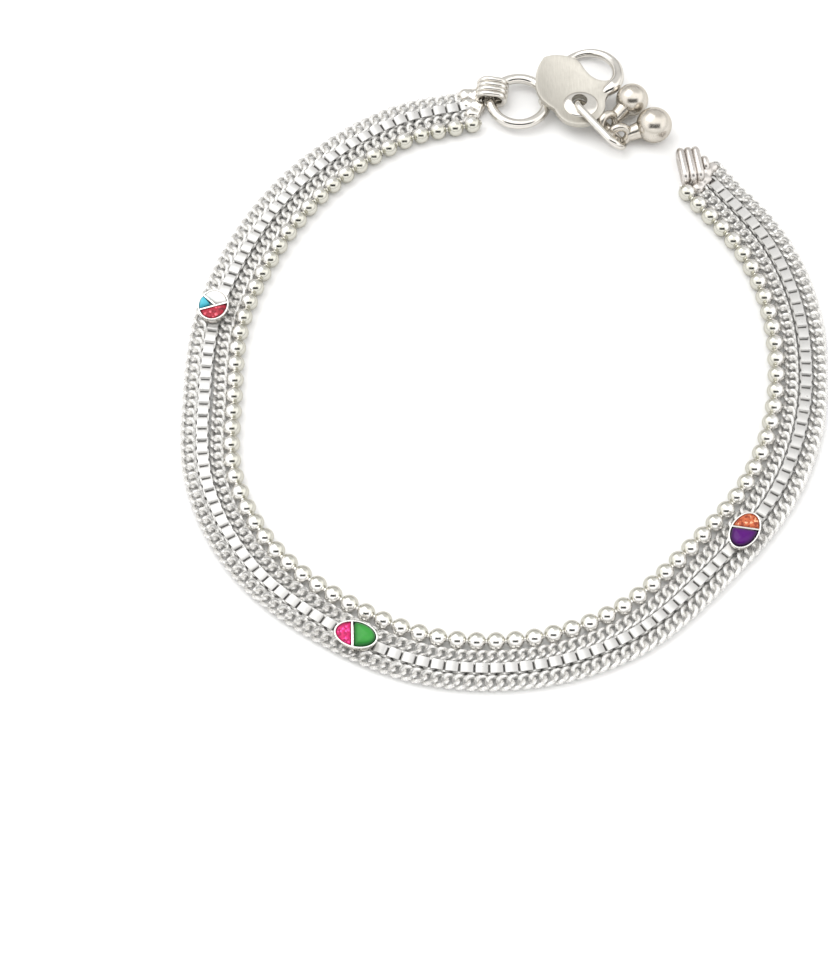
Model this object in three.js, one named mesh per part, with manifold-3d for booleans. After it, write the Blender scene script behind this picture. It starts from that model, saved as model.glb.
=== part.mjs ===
// A payal anklet that lies open on a table, in millimetres, +Z up.
// A band of four strands runs round the ankle hollow: a string of balls on the inner edge, a curb chain,
// a box chain and a second curb chain. Three oval enamel settings sit on the band. The left end of the band
// holds a coil, a large ring and the hook clasp with its two bells, the right end holds the catch.
// The band is laid out along one route, the row of ball centres, from the left end to the right end.
// A place on the band is its distance along the route and its offset outward from the ball centres.
import * as THREE from 'three';
import * as BufferGeometryUtils from 'three/addons/utils/BufferGeometryUtils.js';
import Module from 'manifold-3d';

const wasm = await Module();
wasm.setup();

// Route of the ball centres, seen from above, from the left end round the front to the right end.
const BALL_ROUTE = [
  [-4.5, 42.0], [-15.0, 39.0], [-26.5, 30.5], [-34.5, 19.5], [-40.0, 5.5], [-41.0, -8.0],
  [-40.5, -22.0], [-34.5, -34.0], [-24.5, -42.5], [-11.5, -48.5], [2.5, -49.0], [15.5, -44.5],
  [26.5, -34.5], [36.0, -22.5], [40.5, -10.0], [41.0, 4.5], [37.5, 17.0], [29.0, 29.0],
];

// String of balls.
const BALL_DIAMETER = 2.6;
const BALL_SPACE = 0.22;
const NECK_DIAMETER = 0.9;
const BALL_SIDES = 10;

// Flat strands, width across the band and height above the table.
const INNER_CURB_WIDTH = 2.0;
const INNER_CURB_HEIGHT = 1.2;
const BOX_WIDTH = 1.65;
const BOX_HEIGHT = 1.65;
const OUTER_CURB_WIDTH = 2.3;
const OUTER_CURB_HEIGHT = 1.3;
const STRAND_GAP = 0.15;
const STRAND_CHAMFER = 0.25;
const STRAND_STEPS = 64;

// On the left side the two outer strands part from the inner ones by a narrow slit.
const PARTING_WIDTH = 0.3;
const PARTING_PLACE = 0.29;
const PARTING_LENGTH = 30;

// How far each strand runs past the last ball at the right end.
const INNER_CURB_REACH = -0.9;
const BOX_REACH = -0.7;
const OUTER_CURB_REACH = 1.0;

// Oval enamel settings. Place is the share of the route, shift moves the partition along the band.
const SETTING_LENGTH = 6.0;
const SETTING_WIDTH = 4.6;
const SETTING_HEIGHT = 1.75;
const SETTING_FLOOR = 0.5;
const SETTING_SEAT = 0.2;
const SETTING_OVERHANG = 0.45;
const RIM_WALL = 0.35;
const PARTITION_WALL = 0.35;
const PARTITION_SKEW = THREE.MathUtils.degToRad(27);
const ENAMEL_CLEARANCE = 0.1;
const ENAMEL_BELOW_RIM = 0.1;
const LEFT_SETTING = { place: 0.227, shift: 0.3 };
const FRONT_SETTING = { place: 0.48, shift: -0.5 };
const RIGHT_SETTING = { place: 0.73, shift: 0.65 };

// Left end: plate and coil of wire turns round the large ring. Neighbouring turns are soldered together.
const END_PLATE_HEIGHT = 1.5;
const LEFT_PLATE_SHOULDER = 0.5;
const LEFT_PLATE_WAIST = 0.6;
const JOINT_GAP = 0.3;
const COIL_WIRE = 0.95;
const COIL_TURNS = 4;
const TURN_SOLDER = 0.05;
const COIL_LENGTH = 5.2;
const COIL_HEIGHT = 3.9;
const COIL_REACH = 4.7;
const COIL_OFFSET = 5.0;
const COIL_HEADING = THREE.MathUtils.degToRad(-8);

// Large ring, lying on the lowest wire of the coil.
const RING_DIAMETER = 10.5;
const RING_WIRE = 1.3;
const RING_CLEARANCE = 0.15;
const RING_ANGLE_IN_COIL = THREE.MathUtils.degToRad(158);

// Hook clasp. The leaf plate is drawn from the middle of the ring's right side.
const LEAF_LENGTH = 13.0;
const LEAF_WIDTH = 13.4;
const LEAF_THICKNESS = 0.9;
const LEAF_OVERLAP = 0.6;
const LEAF_RISE = 0.35;
const LEAF_BEVEL = 0.15;
const BACK_EYE_WIRE = 0.7;
const LOBE_DIAMETER = 8.2;
const LOBE_DROP = 0.3;
const HOLE_DIAMETER = 2.5;
const HOOK_WIRE = 1.35;

// Long wire link through the hole of the leaf, leaning a little and dropping towards its far end.
const LINK_WIRE = 1.0;
const LINK_LENGTH = 10.2;
const LINK_CLEARANCE = 0.85;
const LINK_DROP = 0.2;
const LINK_HEADING = THREE.MathUtils.degToRad(-46);
const LINK_LEAN = THREE.MathUtils.degToRad(42);

// Two round bells with their eyelets on the link.
const BELL_ONE_DIAMETER = 5.2;
const BELL_TWO_DIAMETER = 5.7;
const BELL_GAP = 0.6;
const BELL_ONE_HEADING = THREE.MathUtils.degToRad(47);
const BELL_ONE_DISTANCE = 5.55;
const BELL_TWO_HEADING = THREE.MathUtils.degToRad(-57);
const EYELET_WIRE = 0.8;
const EYELET_HOLE = 2.1;
const EYELET_SLACK = 0.1;
const EYELET_LIFT = 0.3;
const EYELET_TILT = THREE.MathUtils.degToRad(34);
const SHANK_DIAMETER = 1.4;
const EYELET_ONE_PLACE = 0.54;
const EYELET_TWO_PLACE = 0.79;

// Right end: plate and catch of long wire loops. The plate reaches past the strands at three places.
const PLATE_PAST_OUTER = 1.0;
const PLATE_PAST_MIDDLE = 1.4;
const PLATE_PAST_BOX = 1.2;
const CATCH_WIRE = 1.25;
const CATCH_LOOPS = 3;
const CATCH_LENGTH = 6.6;
const CATCH_HEIGHT = 3.1;
const CATCH_OFFSET = 3.6;
const CATCH_REACH = 3.65;
const CATCH_HEADING = THREE.MathUtils.degToRad(98);
const SIDE_LOOP_LENGTH = 3.0;
const SIDE_LOOP_HEIGHT = 2.7;
const SIDE_LOOP_BACK = 0.15;
const LOOP_SIDES = 12;

const UP = new THREE.Vector3(0, 0, 1);

// Finishes.
const silver = () => new THREE.MeshStandardMaterial({ color: 0xe6e4e0, roughness: 0.25, metalness: 1.0 });
const enamel = (color, roughness) => new THREE.MeshStandardMaterial({ color, roughness, metalness: 0.0 });

// A closed mesh as a solid for booleans, and a solid as a geometry again.
function toSolid(geometry) {
  const bare = new THREE.BufferGeometry();
  bare.setAttribute('position', geometry.getAttribute('position'));
  bare.setIndex(geometry.getIndex());
  const merged = BufferGeometryUtils.mergeVertices(bare, 1e-4);
  const mesh = new wasm.Mesh({
    numProp: 3,
    vertProperties: new Float32Array(merged.getAttribute('position').array),
    triVerts: new Uint32Array(merged.getIndex().array),
  });
  return new wasm.Manifold(mesh);
}

function toGeometry(solid) {
  const mesh = solid.getMesh();
  const geometry = new THREE.BufferGeometry();
  geometry.setAttribute('position', new THREE.BufferAttribute(new Float32Array(mesh.vertProperties), 3));
  geometry.setIndex(new THREE.BufferAttribute(new Uint32Array(mesh.triVerts), 1));
  geometry.computeVertexNormals();
  return geometry;
}

function soldered(pieces) {
  const solids = pieces.map(toSolid);
  return toGeometry(solids.reduce((whole, solid) => whole.add(solid)));
}

function part(name, geometry, material) {
  const mesh = new THREE.Mesh(geometry, material);
  mesh.name = name;
  return mesh;
}

// The route and places on it.
const route = new THREE.CatmullRomCurve3(
  BALL_ROUTE.map(([x, y]) => new THREE.Vector3(x, y, 0)), false, 'centripetal',
);
route.arcLengthDivisions = 1200;
const routeLength = route.getLength();

function placeOnRoute(distance) {
  const share = THREE.MathUtils.clamp(distance / routeLength, 0, 1);
  const point = route.getPointAt(share);
  const along = route.getTangentAt(share);
  const outward = new THREE.Vector3().crossVectors(along, UP);
  point.addScaledVector(along, distance - share * routeLength);
  return { point, along, outward };
}

function onBand(distance, offset, height = 0) {
  const { point, outward } = placeOnRoute(distance);
  return point.addScaledVector(outward, offset).setZ(height);
}

// Offsets of the strands, from the inner edge of the band outward.
const ballRadius = BALL_DIAMETER / 2;
const innerCurbOffset = ballRadius + STRAND_GAP + INNER_CURB_WIDTH / 2;
const boxOffset = innerCurbOffset + INNER_CURB_WIDTH / 2 + STRAND_GAP + BOX_WIDTH / 2;
const outerCurbOffset = boxOffset + BOX_WIDTH / 2 + STRAND_GAP + OUTER_CURB_WIDTH / 2;
const bandEdge = outerCurbOffset + OUTER_CURB_WIDTH / 2;

function partingAt(distance) {
  const along = (distance - PARTING_PLACE * routeLength) / PARTING_LENGTH;
  return Math.abs(along) < 0.5 ? PARTING_WIDTH * Math.cos(along * Math.PI) ** 2 : 0;
}

// The string of balls: rings of points swept along the route, wide on a ball and narrow between two balls.
function ballChainGeometry() {
  const count = Math.round(routeLength / (BALL_DIAMETER + BALL_SPACE)) + 1;
  const pitch = routeLength / (count - 1);
  const ringAngles = [48, 90, 132].map(THREE.MathUtils.degToRad);
  const rings = [{ distance: -ballRadius, radius: NECK_DIAMETER / 2 }];
  for (let ball = 0; ball < count; ball += 1) {
    for (const angle of ringAngles) {
      const distance = ball * pitch - ballRadius * Math.cos(angle);
      rings.push({ distance, radius: ballRadius * Math.sin(angle) });
    }
    const end = ball === count - 1 ? ballRadius : pitch / 2;
    rings.push({ distance: ball * pitch + end, radius: NECK_DIAMETER / 2 });
  }
  return sweptRings(rings, BALL_SIDES);
}

function sweptRings(rings, sides) {
  const positions = [];
  const triangles = [];
  for (const { distance, radius } of rings) {
    const { point, outward } = placeOnRoute(distance);
    for (let side = 0; side < sides; side += 1) {
      const turn = Math.PI / 2 + side * 2 * Math.PI / sides;
      const across = radius * Math.cos(turn);
      positions.push(point.x + outward.x * across, point.y + outward.y * across);
      positions.push(ballRadius + radius * Math.sin(turn));
    }
  }
  for (let ring = 0; ring + 1 < rings.length; ring += 1) {
    for (let side = 0; side < sides; side += 1) {
      const a = ring * sides + side;
      const b = ring * sides + (side + 1) % sides;
      triangles.push(a, a + sides, b, b, a + sides, b + sides);
    }
  }
  const last = (rings.length - 1) * sides;
  for (let side = 1; side + 1 < sides; side += 1) {
    triangles.push(0, side, side + 1);
    triangles.push(last, last + side + 1, last + side);
  }
  const geometry = new THREE.BufferGeometry();
  geometry.setAttribute('position', new THREE.Float32BufferAttribute(positions, 3));
  geometry.setIndex(triangles);
  geometry.computeVertexNormals();
  return geometry;
}

// A flat strand: an octagon drawn along the band at its own offset.
class StrandPath extends THREE.Curve {
  constructor(start, end, offset, parts, height) {
    super();
    Object.assign(this, { start, end, offset, parts, height });
  }

  getPoint(share, target = new THREE.Vector3()) {
    const distance = THREE.MathUtils.lerp(this.start, this.end, share);
    const offset = this.offset + (this.parts ? partingAt(distance) : 0);
    return target.copy(onBand(distance, offset, this.height));
  }
}

function octagon(height, width) {
  const h = height / 2;
  const w = width / 2;
  const c = STRAND_CHAMFER;
  const corners = [[h - c, -w], [h, c - w], [h, w - c], [h - c, w], [c - h, w], [-h, w - c], [-h, c - w], [c - h, -w]];
  return new THREE.Shape(corners.map(([x, y]) => new THREE.Vector2(x, y)));
}

function strandGeometry(offset, width, height, reach, parts) {
  const path = new StrandPath(0, routeLength + reach, offset, parts, height / 2);
  const options = { steps: STRAND_STEPS, bevelEnabled: false, extrudePath: path };
  return new THREE.ExtrudeGeometry(octagon(height, width), options);
}

// Oval settings. In their own plan x runs along the band and y points to the inner edge.
function ovalOutline(inset) {
  const points = [];
  const count = 24;
  for (let i = 0; i < count; i += 1) {
    const turn = 2 * Math.PI * i / count;
    const x = (SETTING_LENGTH / 2 - inset) * Math.cos(turn);
    points.push(new THREE.Vector2(x, (SETTING_WIDTH / 2 - inset) * Math.sin(turn)));
  }
  return points;
}

// The part of a convex outline that lies on the side of a line that its normal points to.
function keptSide(outline, origin, normal, margin) {
  const side = (p) => p.clone().sub(origin).dot(normal) - margin;
  const kept = [];
  outline.forEach((p, i) => {
    const q = outline[(i + 1) % outline.length];
    if (side(p) > 0) kept.push(p);
    if (side(p) * side(q) < 0) kept.push(p.clone().lerp(q, side(p) / (side(p) - side(q))));
  });
  return kept;
}

// A field is bounded by the rim and by each partition wall: walls lists [origin, normal] pairs.
function fieldShape(walls, clearance) {
  const margin = PARTITION_WALL / 2 + clearance;
  const whole = ovalOutline(RIM_WALL + clearance);
  return new THREE.Shape(walls.reduce((rest, [origin, normal]) => keptSide(rest, origin, normal, margin), whole));
}

function settingFields(shift, splitsFirst) {
  const origin = new THREE.Vector2(shift, 0);
  const across = new THREE.Vector2(-Math.sin(PARTITION_SKEW), Math.cos(PARTITION_SKEW));
  const towards = new THREE.Vector2(Math.cos(PARTITION_SKEW), Math.sin(PARTITION_SKEW));
  const before = [origin, towards.clone().negate()];
  const after = [origin, towards];
  if (!splitsFirst) return [[before], [after]];
  return [[before, [origin, across.clone().negate()]], [before, [origin, across]], [after]];
}

const settingBase = Math.max(INNER_CURB_HEIGHT, BOX_HEIGHT, OUTER_CURB_HEIGHT) + SETTING_SEAT;

function settingGeometry(fields) {
  const flat = (shape, depth) => new THREE.ExtrudeGeometry(shape, { depth, bevelEnabled: false });
  const pocketDepth = SETTING_HEIGHT - SETTING_FLOOR;
  const cup = toSolid(flat(new THREE.Shape(ovalOutline(0)), SETTING_HEIGHT));
  const pockets = fields.map((walls) => {
    const pocket = flat(fieldShape(walls, 0), pocketDepth * 2);
    return toSolid(pocket.translate(0, 0, SETTING_FLOOR));
  });
  return toGeometry(pockets.reduce((rest, pocket) => rest.subtract(pocket), cup));
}

function enamelGeometry(walls) {
  const floor = SETTING_FLOOR + ENAMEL_CLEARANCE;
  const depth = SETTING_HEIGHT - floor - ENAMEL_BELOW_RIM;
  const geometry = new THREE.ExtrudeGeometry(fieldShape(walls, ENAMEL_CLEARANCE), { depth, bevelEnabled: false });
  return geometry.translate(0, 0, floor);
}

function setting(side, { place, shift }, glazes) {
  const group = new THREE.Group();
  const distance = place * routeLength;
  const { along } = placeOnRoute(distance);
  group.position.copy(onBand(distance, boxOffset + SETTING_OVERHANG, settingBase));
  group.rotation.z = Math.atan2(along.y, along.x);
  const fields = settingFields(shift, glazes.length === 3);
  group.add(part(`${side}_setting`, settingGeometry(fields), silver()));
  glazes.forEach(({ name, color, roughness }, i) => {
    group.add(part(`${side}_${name}_enamel`, enamelGeometry(fields[i]), enamel(color, roughness)));
  });
  return group;
}

// Wire turns side by side, soldered along their grooves. Each is a loop with straight sides and round ends.
// The loop's length lies along x and its height along z, and the turns follow each other along y.
function wireTurns(count, length, height, wire) {
  const flat = wire * 0.21;
  const half = wire / 2;
  const groove = wire * 0.25;
  const middle = height / 2 - half;
  const pitch = wire - TURN_SOLDER;
  const outer = [];
  for (let i = 0; i < count; i += 1) {
    const y = (i - (count - 1) / 2) * pitch;
    if (i > 0) outer.push([groove, y - pitch / 2]);
    outer.push([half, y - flat], [half, y + flat]);
  }
  const end = (count - 1) / 2 * pitch + half;
  const inner = outer.map(([depth, y]) => [-depth, y]).reverse();
  const profile = [[flat, -end], ...outer, [flat, end], [-flat, end], ...inner, [-flat, -end], [flat, -end]];
  const points = profile.map(([depth, y]) => new THREE.Vector2(middle + depth, y));
  const geometry = new THREE.LatheGeometry(points, LOOP_SIDES, Math.PI / LOOP_SIDES);
  const position = geometry.getAttribute('position');
  for (let i = 0; i < position.count; i += 1) {
    position.setX(i, position.getX(i) + Math.sign(position.getX(i)) * (length - height) / 2);
  }
  return geometry;
}

// Turns that stand on the table, with their length along the heading.
function standingTurns(count, length, height, wire, centre, heading) {
  const turns = wireTurns(count, length, height, wire).rotateZ(heading);
  return turns.translate(centre.x, centre.y, height / 2);
}

// An end plate, drawn with [distance past the end of the route, offset] corners.
function endPlate(atRightEnd, corners) {
  const points = corners.map(([reach, offset]) => onBand(atRightEnd ? routeLength + reach : -reach, offset));
  const shape = new THREE.Shape(points.map((p) => new THREE.Vector2(p.x, p.y)));
  return new THREE.ExtrudeGeometry(shape, { depth: END_PLATE_HEIGHT, bevelEnabled: false });
}

const innerEdgeOfPlates = ballRadius + STRAND_GAP;
const coilHalf = COIL_TURNS * (COIL_WIRE - TURN_SOLDER) / 2;
const coilInner = COIL_OFFSET - coilHalf;
const coilOuter = COIL_OFFSET + coilHalf;
const coilCentre = onBand(-COIL_REACH, COIL_OFFSET);
const coilNearSide = COIL_REACH - COIL_LENGTH / 2 + COIL_WIRE * 0.7;

function leftEndGeometry() {
  const plate = endPlate(false, [
    [JOINT_GAP, innerEdgeOfPlates],
    [JOINT_GAP, bandEdge - STRAND_GAP],
    [coilNearSide * LEFT_PLATE_SHOULDER, bandEdge - STRAND_GAP],
    [coilNearSide, coilOuter],
    [coilNearSide, coilInner],
    [coilNearSide * LEFT_PLATE_WAIST, innerEdgeOfPlates],
  ]);
  const coil = standingTurns(COIL_TURNS, COIL_LENGTH, COIL_HEIGHT, COIL_WIRE, coilCentre, COIL_HEADING);
  return soldered([plate, coil]);
}

function rightEndGeometry() {
  const innerStep = innerCurbOffset + INNER_CURB_WIDTH / 2 - STRAND_GAP;
  const boxStep = boxOffset + BOX_WIDTH / 2 - STRAND_GAP;
  const plate = endPlate(true, [
    [INNER_CURB_REACH + JOINT_GAP, innerEdgeOfPlates],
    [INNER_CURB_REACH + JOINT_GAP, innerStep],
    [BOX_REACH + JOINT_GAP, innerStep],
    [BOX_REACH + JOINT_GAP, boxStep],
    [OUTER_CURB_REACH + JOINT_GAP, boxStep],
    [OUTER_CURB_REACH + JOINT_GAP, bandEdge - STRAND_GAP],
    [OUTER_CURB_REACH + PLATE_PAST_OUTER, bandEdge - STRAND_GAP],
    [OUTER_CURB_REACH + PLATE_PAST_MIDDLE, boxStep],
    [BOX_REACH + PLATE_PAST_BOX, innerEdgeOfPlates],
  ]);
  const centre = onBand(routeLength + CATCH_REACH, CATCH_OFFSET);
  const loops = standingTurns(CATCH_LOOPS, CATCH_LENGTH, CATCH_HEIGHT, CATCH_WIRE, centre, CATCH_HEADING);
  const sideways = (CATCH_LOOPS + 1) / 2 * (CATCH_WIRE - TURN_SOLDER);
  const sideCentre = new THREE.Vector3(
    centre.x + sideways * Math.sin(CATCH_HEADING) - SIDE_LOOP_BACK * Math.cos(CATCH_HEADING),
    centre.y - sideways * Math.cos(CATCH_HEADING) - SIDE_LOOP_BACK * Math.sin(CATCH_HEADING),
    0,
  );
  const side = standingTurns(1, SIDE_LOOP_LENGTH, SIDE_LOOP_HEIGHT, CATCH_WIRE, sideCentre, CATCH_HEADING);
  return soldered([plate, loops, side]);
}

// Large ring: its wire passes through the coil at the named angle.
const ringRadius = (RING_DIAMETER - RING_WIRE) / 2;
const ringHeight = Math.max(COIL_WIRE, BACK_EYE_WIRE) + RING_CLEARANCE + RING_WIRE / 2;
const ringCentre = new THREE.Vector3(
  coilCentre.x - ringRadius * Math.cos(RING_ANGLE_IN_COIL),
  coilCentre.y - ringRadius * Math.sin(RING_ANGLE_IN_COIL),
  ringHeight,
);

function largeRing() {
  const ring = part('large_ring', new THREE.TorusGeometry(ringRadius, RING_WIRE / 2, 8, 30), silver());
  ring.position.copy(ringCentre);
  return ring;
}

// Hook clasp: x and y of its plan start at the ring's right side, where the back eye holds the ring.
const backEyeInner = RING_WIRE / 2 + RING_CLEARANCE;
const leafBottom = ringHeight + backEyeInner;
const leafMiddle = leafBottom + LEAF_THICKNESS / 2;
const hookOrigin = new THREE.Vector3(ringCentre.x + ringRadius, ringCentre.y, 0);
const leafPoint = (x, y) => [x * LEAF_LENGTH - LEAF_OVERLAP, y * LEAF_WIDTH + LEAF_RISE];
const [holeX, holeY] = leafPoint(0.43, -0.12);

function leafShape() {
  const lobe = LOBE_DIAMETER / 2;
  const shape = new THREE.Shape();
  shape.moveTo(...leafPoint(0.01, 0.53));
  shape.bezierCurveTo(...leafPoint(-0.12, 0.35), ...leafPoint(-0.17, 0.03), ...leafPoint(0.03, -0.15));
  shape.lineTo(...leafPoint(0.13, -0.23));
  shape.absarc(holeX, holeY - LOBE_DROP, lobe, THREE.MathUtils.degToRad(200), THREE.MathUtils.degToRad(365), false);
  shape.bezierCurveTo(...leafPoint(0.75, -0.02), ...leafPoint(0.83, 0.05), ...leafPoint(0.9, 0.15));
  shape.lineTo(...leafPoint(0.87, 0.22));
  shape.bezierCurveTo(...leafPoint(0.7, 0.22), ...leafPoint(0.56, 0.32), ...leafPoint(0.48, 0.43));
  shape.quadraticCurveTo(...leafPoint(0.43, 0.5), ...leafPoint(0.35, 0.53));
  shape.bezierCurveTo(...leafPoint(0.24, 0.57), ...leafPoint(0.1, 0.58), ...leafPoint(0.01, 0.53));
  const hole = new THREE.Path();
  hole.absarc(holeX, holeY, HOLE_DIAMETER / 2, 0, 2 * Math.PI, true);
  shape.holes.push(hole);
  return shape;
}

// The hook wire starts in the tip of the leaf, curls away from the hole and ends under the top of the leaf.
function hookWireGeometry() {
  const low = HOOK_WIRE / 2 + RING_CLEARANCE;
  const stations = [
    [0.84, 0.12, 1], [0.89, 0.2, 1], [0.92, 0.31, 0.9], [0.89, 0.49, 0.65], [0.76, 0.65, 0.38],
    [0.59, 0.72, 0.15], [0.43, 0.7, 0.02], [0.29, 0.61, 0], [0.21, 0.49, 0],
  ];
  const points = stations.map(([x, y, rise]) => {
    const [px, py] = leafPoint(x, y);
    return new THREE.Vector3(px, py, low + rise * (leafMiddle - low));
  });
  const path = new THREE.CatmullRomCurve3(points, false, 'centripetal');
  const section = new THREE.Shape();
  section.absarc(0, 0, HOOK_WIRE / 2, 0, 2 * Math.PI, false);
  const options = { steps: 24, curveSegments: 4, bevelEnabled: false, extrudePath: path };
  return new THREE.ExtrudeGeometry(section, options);
}

function hookClasp() {
  const leaf = new THREE.ExtrudeGeometry(leafShape(), {
    depth: LEAF_THICKNESS - 2 * LEAF_BEVEL, curveSegments: 10, bevelSegments: 1,
    bevelThickness: LEAF_BEVEL, bevelSize: LEAF_BEVEL, bevelOffset: -LEAF_BEVEL,
  });
  leaf.translate(0, 0, leafBottom + LEAF_BEVEL);
  const backEye = new THREE.TorusGeometry(backEyeInner + BACK_EYE_WIRE / 2, BACK_EYE_WIRE / 2, 6, 16);
  backEye.rotateX(Math.PI / 2);
  backEye.translate(0, 0, ringHeight);
  const clasp = part('hook_clasp', soldered([leaf, hookWireGeometry(), backEye]), silver());
  clasp.position.copy(hookOrigin);
  return clasp;
}

// Long link: its near end passes through the hole, its far end reaches past the lobe of the leaf.
const linkHalf = (LEAF_THICKNESS + 2 * LINK_CLEARANCE + LINK_WIRE) / 2;
const linkNear = new THREE.Vector3(hookOrigin.x + holeX, hookOrigin.y + holeY, leafMiddle);
const linkFall = Math.asin(LINK_DROP / LINK_LENGTH);
const linkAxis = new THREE.Vector3(
  Math.cos(LINK_HEADING) * Math.cos(linkFall), Math.sin(LINK_HEADING) * Math.cos(linkFall), -Math.sin(linkFall),
);
const linkSide = new THREE.Vector3().crossVectors(UP, linkAxis).normalize();
const linkUp = new THREE.Vector3().crossVectors(linkAxis, linkSide).applyAxisAngle(linkAxis, LINK_LEAN);

function linkPoint(share, side) {
  return linkNear.clone().addScaledVector(linkAxis, share * LINK_LENGTH).addScaledVector(linkUp, side * linkHalf);
}

function bellLink() {
  const loop = wireTurns(1, LINK_LENGTH + LINK_WIRE, 2 * linkHalf + LINK_WIRE, LINK_WIRE);
  const link = part('bell_link', loop, silver());
  const basis = new THREE.Matrix4().makeBasis(linkAxis, new THREE.Vector3().crossVectors(linkUp, linkAxis), linkUp);
  link.setRotationFromMatrix(basis);
  link.position.copy(linkPoint(0.5, 0));
  return link;
}

// Bells rest on the table. The eyelet goes round the link's lower wire and a short shank joins it to the bell.
const eyeletRadius = (EYELET_HOLE + EYELET_WIRE) / 2;
const bellOneCentre = linkPoint(EYELET_ONE_PLACE, -1);
bellOneCentre.x += BELL_ONE_DISTANCE * Math.cos(BELL_ONE_HEADING);
bellOneCentre.y += BELL_ONE_DISTANCE * Math.sin(BELL_ONE_HEADING);
bellOneCentre.z = BELL_ONE_DIAMETER / 2;
const bellTwoCentre = bellOneCentre.clone();
const bellSpacing = (BELL_ONE_DIAMETER + BELL_TWO_DIAMETER) / 2 + BELL_GAP;
bellTwoCentre.x += bellSpacing * Math.cos(BELL_TWO_HEADING);
bellTwoCentre.y += bellSpacing * Math.sin(BELL_TWO_HEADING);
bellTwoCentre.z = BELL_TWO_DIAMETER / 2;

function bellGeometry(centre, diameter, wirePoint, wireAlong) {
  const towards = centre.clone().sub(wirePoint).normalize();
  const across = wireAlong.clone().addScaledVector(towards, -wireAlong.dot(towards)).normalize();
  const eyeletCentre = wirePoint.clone().addScaledVector(towards, EYELET_SLACK);
  eyeletCentre.addScaledVector(UP, EYELET_LIFT);
  const basis = new THREE.Matrix4().makeBasis(towards, new THREE.Vector3().crossVectors(across, towards), across);
  const eyelet = new THREE.TorusGeometry(eyeletRadius, EYELET_WIRE / 2, 6, 14).applyMatrix4(basis);
  eyelet.translate(eyeletCentre.x, eyeletCentre.y, eyeletCentre.z);
  const start = EYELET_SLACK + eyeletRadius;
  const shankLength = centre.distanceTo(wirePoint) - diameter * 0.4 - start;
  const shank = new THREE.CylinderGeometry(SHANK_DIAMETER / 2, SHANK_DIAMETER / 2, shankLength, 10);
  shank.rotateZ(-Math.PI / 2);
  shank.applyMatrix4(basis);
  const middle = wirePoint.clone().addScaledVector(towards, start + shankLength / 2);
  shank.translate(middle.x, middle.y, middle.z);
  const ball = new THREE.SphereGeometry(diameter / 2, 16, 10).rotateX(Math.PI / 2);
  ball.translate(centre.x, centre.y, centre.z);
  return soldered([ball, shank, eyelet]);
}

function bells() {
  const tilted = linkAxis.clone().multiplyScalar(Math.cos(EYELET_TILT));
  tilted.addScaledVector(linkUp, Math.sin(EYELET_TILT));
  const one = bellGeometry(bellOneCentre, BELL_ONE_DIAMETER, linkPoint(EYELET_ONE_PLACE, -1), tilted);
  const two = bellGeometry(bellTwoCentre, BELL_TWO_DIAMETER, linkPoint(EYELET_TWO_PLACE, -1), tilted);
  return [part('bell_one', one, silver()), part('bell_two', two, silver())];
}

// The whole anklet.
const anklet = new THREE.Group();
anklet.add(part('ball_chain', ballChainGeometry(), silver()));
anklet.add(part(
  'inner_curb_chain',
  strandGeometry(innerCurbOffset, INNER_CURB_WIDTH, INNER_CURB_HEIGHT, INNER_CURB_REACH, false),
  silver(),
));
anklet.add(part('box_chain', strandGeometry(boxOffset, BOX_WIDTH, BOX_HEIGHT, BOX_REACH, true), silver()));
anklet.add(part(
  'outer_curb_chain',
  strandGeometry(outerCurbOffset, OUTER_CURB_WIDTH, OUTER_CURB_HEIGHT, OUTER_CURB_REACH, true),
  silver(),
));
anklet.add(setting('left', LEFT_SETTING, [
  { name: 'turquoise', color: 0x2fb4d4, roughness: 0.2 },
  { name: 'white', color: 0xf6f6f2, roughness: 0.2 },
  { name: 'red', color: 0xc01f30, roughness: 0.35 },
]));
anklet.add(setting('front', FRONT_SETTING, [
  { name: 'pink', color: 0xe0187a, roughness: 0.35 },
  { name: 'green', color: 0x1f7f33, roughness: 0.15 },
]));
anklet.add(setting('right', RIGHT_SETTING, [
  { name: 'purple', color: 0x4a1478, roughness: 0.15 },
  { name: 'orange', color: 0xe8743a, roughness: 0.4 },
]));
anklet.add(part('left_end_coil', leftEndGeometry(), silver()));
anklet.add(largeRing());
anklet.add(hookClasp());
anklet.add(bellLink());
anklet.add(...bells());
anklet.add(part('right_end_catch', rightEndGeometry(), silver()));

// The origin lies under the middle of the anklet, at table height.
anklet.updateMatrixWorld(true);
const box = new THREE.Box3().setFromObject(anklet, true);
const middle = box.getCenter(new THREE.Vector3());
anklet.position.set(-middle.x, -middle.y, -box.min.z);

export default anklet;
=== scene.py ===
"""Looks of a payal anklet that lies open on a table: silver chains, enamel settings, clasp and bells."""
import math
import random

import bmesh
import bpy
import numpy as np
from mathutils import Matrix, Vector


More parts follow.
